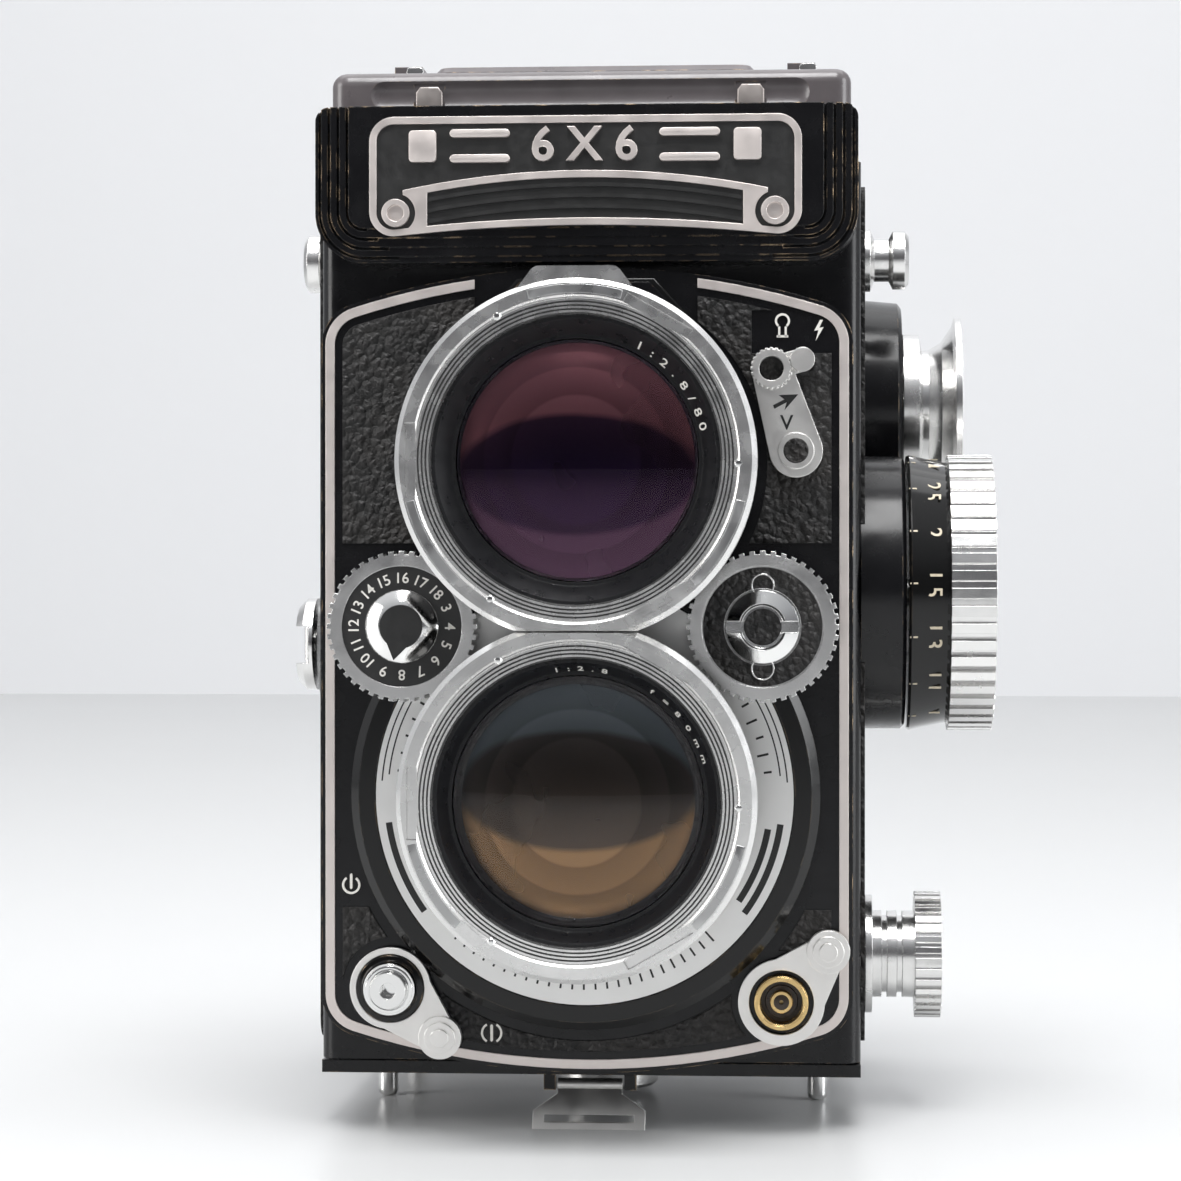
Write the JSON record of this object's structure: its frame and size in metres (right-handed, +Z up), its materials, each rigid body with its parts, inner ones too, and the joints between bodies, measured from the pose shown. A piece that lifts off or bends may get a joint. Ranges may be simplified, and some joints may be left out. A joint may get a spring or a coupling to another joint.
{
  "type": "twin lens reflex camera",
  "caption": "Black and chrome twin lens reflex camera with a folding hood, wind crank, side focusing knob and hinged back.",
  "frame": {"origin": "middle of the tripod socket's mouth under the base", "axes": "+Z up, -Y the way the lenses look, +X the focusing knob's side"},
  "size_m": [0.1042, 0.104, 0.1556],
  "materials": {
    "black_lacquer": "gloss black lacquer, brassy at worn edges",
    "leather": "black pebble-grain leather",
    "satin_chrome": "satin chrome",
    "steel": "ground steel",
    "black_anodised": "satin black",
    "coated_glass": "coated lens glass",
    "clear_glass": "clear and ground glass",
    "mirror": "silvered glass",
    "brass": "plain brass",
    "black_plastic": "moulded black plastic"
  },
  "bodies": {
    "camera_body": {"body_casting": "black_lacquer", "side_leathers": "leather", "strap_lugs": "satin_chrome", "viewing_mirror": "mirror", "focusing_screen": "clear_glass", "hood_frame": "black_lacquer", "brow_housing": "black_lacquer", "nameplate_trim": "satin_chrome", "nameplate_panel": "black_anodised", "knob_base_rings": "black_lacquer", "back_hinge_pin": "satin_chrome"},
    "back": {"back_cover": "black_lacquer", "back_leather": "leather", "pressure_plate": "black_anodised", "pressure_springs": "steel", "tripod_socket": "satin_chrome", "feet": "satin_chrome"},
    "latch": {"back_latch": "satin_chrome"},
    "front": {"front_panel": "black_lacquer", "front_trim": "satin_chrome", "front_leathers": "leather", "focus_racks": "steel", "light_trap": "black_anodised", "viewing_barrel": "black_anodised", "viewing_bayonet": "satin_chrome", "viewing_name_ring": "black_anodised", "viewing_elements": "coated_glass", "shutter_housing": "black_lacquer", "shutter_cover_ring": "satin_chrome", "shutter_blades": "steel", "aperture_blades": "steel", "taking_bayonet": "satin_chrome", "taking_name_ring": "black_anodised", "taking_elements": "coated_glass", "flash_socket": "brass"},
    "focus_drive": {"focus_shaft": "steel", "focus_scale_ring": "black_lacquer", "focus_knob": "satin_chrome"},
    "speed_setting": {"speed_wheel": "satin_chrome", "speed_dial": "black_anodised"},
    "aperture_setting": {"aperture_wheel": "satin_chrome"},
    "aperture_button": {"aperture_hub": "satin_chrome"},
    "sync": {"sync_lever": "satin_chrome"},
    "release": {"release_button": "satin_chrome"},
    "guard": {"release_guard": "satin_chrome"},
    "flash_lock": {"flash_lock_lever": "satin_chrome"},
    "crank": {"crank_disc": "satin_chrome"},
    "crank_fold": {"crank_arm": "satin_chrome"},
    "crank_grip": {"crank_handle": "black_plastic"},
    "takeup": {"takeup_spool": "black_plastic"},
    "upper_knob": {"spool_knob_upper": "satin_chrome"},
    "lower_knob": {"spool_knob_lower": "satin_chrome"},
    "upper_roller": {"roller_upper": "steel"},
    "lower_roller": {"roller_lower": "steel"},
    "lid": {"hood_lid": "black_lacquer"},
    "rear_leaf": {"hood_rear_leaf": "black_lacquer"},
    "left_leaf": {"hood_left_leaf": "black_lacquer"},
    "right_leaf": {"hood_right_leaf": "black_lacquer"},
    "magnifier": {"magnifier_frame": "black_anodised", "magnifier_lens": "clear_glass"}
  },
  "joints": [
    {"name": "back_swing", "type": "hinge", "parent": "camera_body", "child": "back", "pos_m": [0, 0.037, 0.125], "axis": [1, 0, 0], "range_deg": [0, 100]},
    {"name": "latch_turn", "type": "hinge", "parent": "back", "child": "latch", "pos_m": [0, -0.034, 0.005], "axis": [1, 0, 0], "range_deg": [0, 100]},
    {"name": "front_slide", "type": "slide", "parent": "camera_body", "child": "front", "axis": [0, -1, 0], "range_m": [0, 0.0081]},
    {"name": "focus_turn", "type": "hinge", "parent": "camera_body", "child": "focus_drive", "pos_m": [0, -0.015, 0.075], "axis": [-1, 0, 0], "range_deg": [0, 180]},
    {"name": "speed_turn", "type": "hinge", "parent": "front", "child": "speed_setting", "pos_m": [-0.0248, -0.049, 0.0705], "axis": [0, -1, 0], "range_deg": [-150, 150]},
    {"name": "aperture_turn", "type": "hinge", "parent": "front", "child": "aperture_setting", "pos_m": [0.0248, -0.049, 0.0705], "axis": [0, -1, 0], "range_deg": [-120, 120]},
    {"name": "aperture_press", "type": "slide", "parent": "aperture_setting", "child": "aperture_button", "axis": [0, 1, 0], "range_m": [0, 0.0008], "stiffness_N_per_m": 400},
    {"name": "sync_turn", "type": "hinge", "parent": "front", "child": "sync", "pos_m": [0.0293, -0.044, 0.0948], "axis": [0, 1, 0], "range_deg": [0, 20]},
    {"name": "release_press", "type": "slide", "parent": "front", "child": "release", "axis": [0, 1, 0], "range_m": [0, 0.0025], "stiffness_N_per_m": 400},
    {"name": "guard_turn", "type": "hinge", "parent": "front", "child": "guard", "pos_m": [-0.0273, -0.044, 0.0198], "axis": [0, 1, 0], "range_deg": [0, 40]},
    {"name": "flash_lock_turn", "type": "hinge", "parent": "front", "child": "flash_lock", "pos_m": [0.0273, -0.044, 0.0183], "axis": [0, -1, 0], "range_deg": [0, 20]},
    {"name": "crank_turn", "type": "hinge", "parent": "camera_body", "child": "crank", "pos_m": [-0.044, -0.002, 0.067], "axis": [1, 0, 0], "range_deg": [0, 270]},
    {"name": "crank_unfold", "type": "hinge", "parent": "crank", "child": "crank_fold", "pos_m": [-0.0454, -0.002, 0.067], "axis": [0, 0, 1], "range_deg": [0, 180]},
    {"name": "grip_spin", "type": "hinge", "parent": "crank_fold", "child": "crank_grip", "pos_m": [-0.042, 0.024, 0.067], "axis": [1, 0, 0], "continuous": true},
    {"name": "takeup_turn", "type": "hinge", "parent": "camera_body", "child": "takeup", "pos_m": [0, 0.0205, 0.104], "axis": [1, 0, 0], "range_deg": [0, 270]},
    {"name": "upper_knob_pull", "type": "slide", "parent": "camera_body", "child": "upper_knob", "axis": [1, 0, 0], "range_m": [0, 0.006]},
    {"name": "lower_knob_pull", "type": "slide", "parent": "camera_body", "child": "lower_knob", "axis": [1, 0, 0], "range_m": [0, 0.006]},
    {"name": "upper_roller_spin", "type": "hinge", "parent": "camera_body", "child": "upper_roller", "pos_m": [0, 0.0292, 0.0802], "axis": [1, 0, 0], "continuous": true},
    {"name": "lower_roller_spin", "type": "hinge", "parent": "camera_body", "child": "lower_roller", "pos_m": [0, 0.0292, 0.014], "axis": [1, 0, 0], "continuous": true},
    {"name": "lid_lift", "type": "hinge", "parent": "camera_body", "child": "lid", "pos_m": [0, -0.036, 0.1432], "axis": [1, 0, 0], "range_deg": [0, 90]},
    {"name": "rear_leaf_lift", "type": "hinge", "parent": "camera_body", "child": "rear_leaf", "pos_m": [0, 0.0313, 0.145], "axis": [-1, 0, 0], "range_deg": [0, 90]},
    {"name": "left_leaf_lift", "type": "hinge", "parent": "camera_body", "child": "left_leaf", "pos_m": [-0.0353, 0, 0.1439], "axis": [0, -1, 0], "range_deg": [0, 90]},
    {"name": "right_leaf_lift", "type": "hinge", "parent": "camera_body", "child": "right_leaf", "pos_m": [0.0353, 0, 0.1439], "axis": [0, 1, 0], "range_deg": [0, 90]},
    {"name": "magnifier_swing", "type": "hinge", "parent": "lid", "child": "magnifier", "pos_m": [0, -0.009, 0.1467], "axis": [-1, 0, 0], "range_deg": [0, 90]}
  ],
  "couplings": [
    {"joint": "focus_turn", "follows": "front_slide", "rad_per_m": 384.62},
    {"joint": "takeup_turn", "follows": "crank_turn", "ratio": 1},
    {"joint": "rear_leaf_lift", "follows": "lid_lift", "ratio": 1},
    {"joint": "left_leaf_lift", "follows": "lid_lift", "ratio": 1},
    {"joint": "right_leaf_lift", "follows": "lid_lift", "ratio": 1},
    {"joint": "magnifier_swing", "follows": "lid_lift", "ratio": 1}
  ]
}
